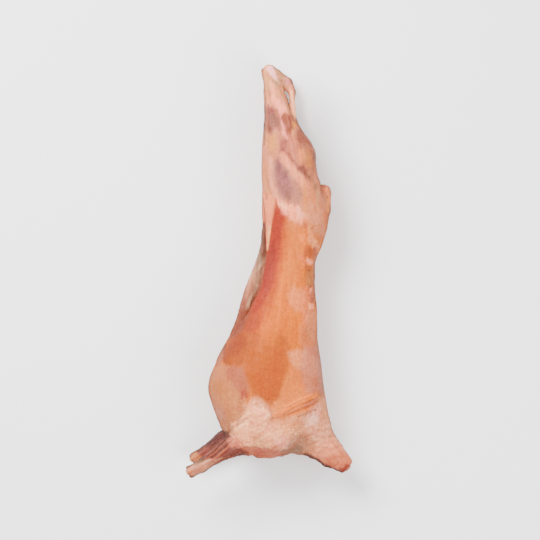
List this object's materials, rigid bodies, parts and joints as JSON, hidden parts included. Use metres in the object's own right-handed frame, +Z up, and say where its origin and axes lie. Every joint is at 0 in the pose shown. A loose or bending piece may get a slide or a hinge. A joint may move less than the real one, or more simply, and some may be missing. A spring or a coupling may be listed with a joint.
{
  "type": "mutton carcass",
  "caption": "Whole dressed mutton carcass without head or feet, its belly slit open to the empty body cavity and its hocks slit for hanging, lying on its side.",
  "frame": {"origin": "on the surface the carcass lies on, under the middle of its bounding box", "axes": "+Y from the neck towards the hocks, +X from the belly towards the back, +Z up out of the animal's right side, which faces up"},
  "size_m": [0.4168, 1.0306, 0.2218],
  "materials": {
    "flesh": "moist raw flesh under a thin pale fat and membrane, orange-salmon with red muscle and pinkish white fat",
    "bone": "moist raw bone and gristle, pale cream with a pink tinge"
  },
  "bodies": {
    "root": {"flesh": "flesh", "hock_bone_right": "bone", "hock_bone_left": "bone", "fore_bone_right": "bone", "fore_bone_left": "bone", "neck_bone": "bone"}
  },
  "joints": []
}
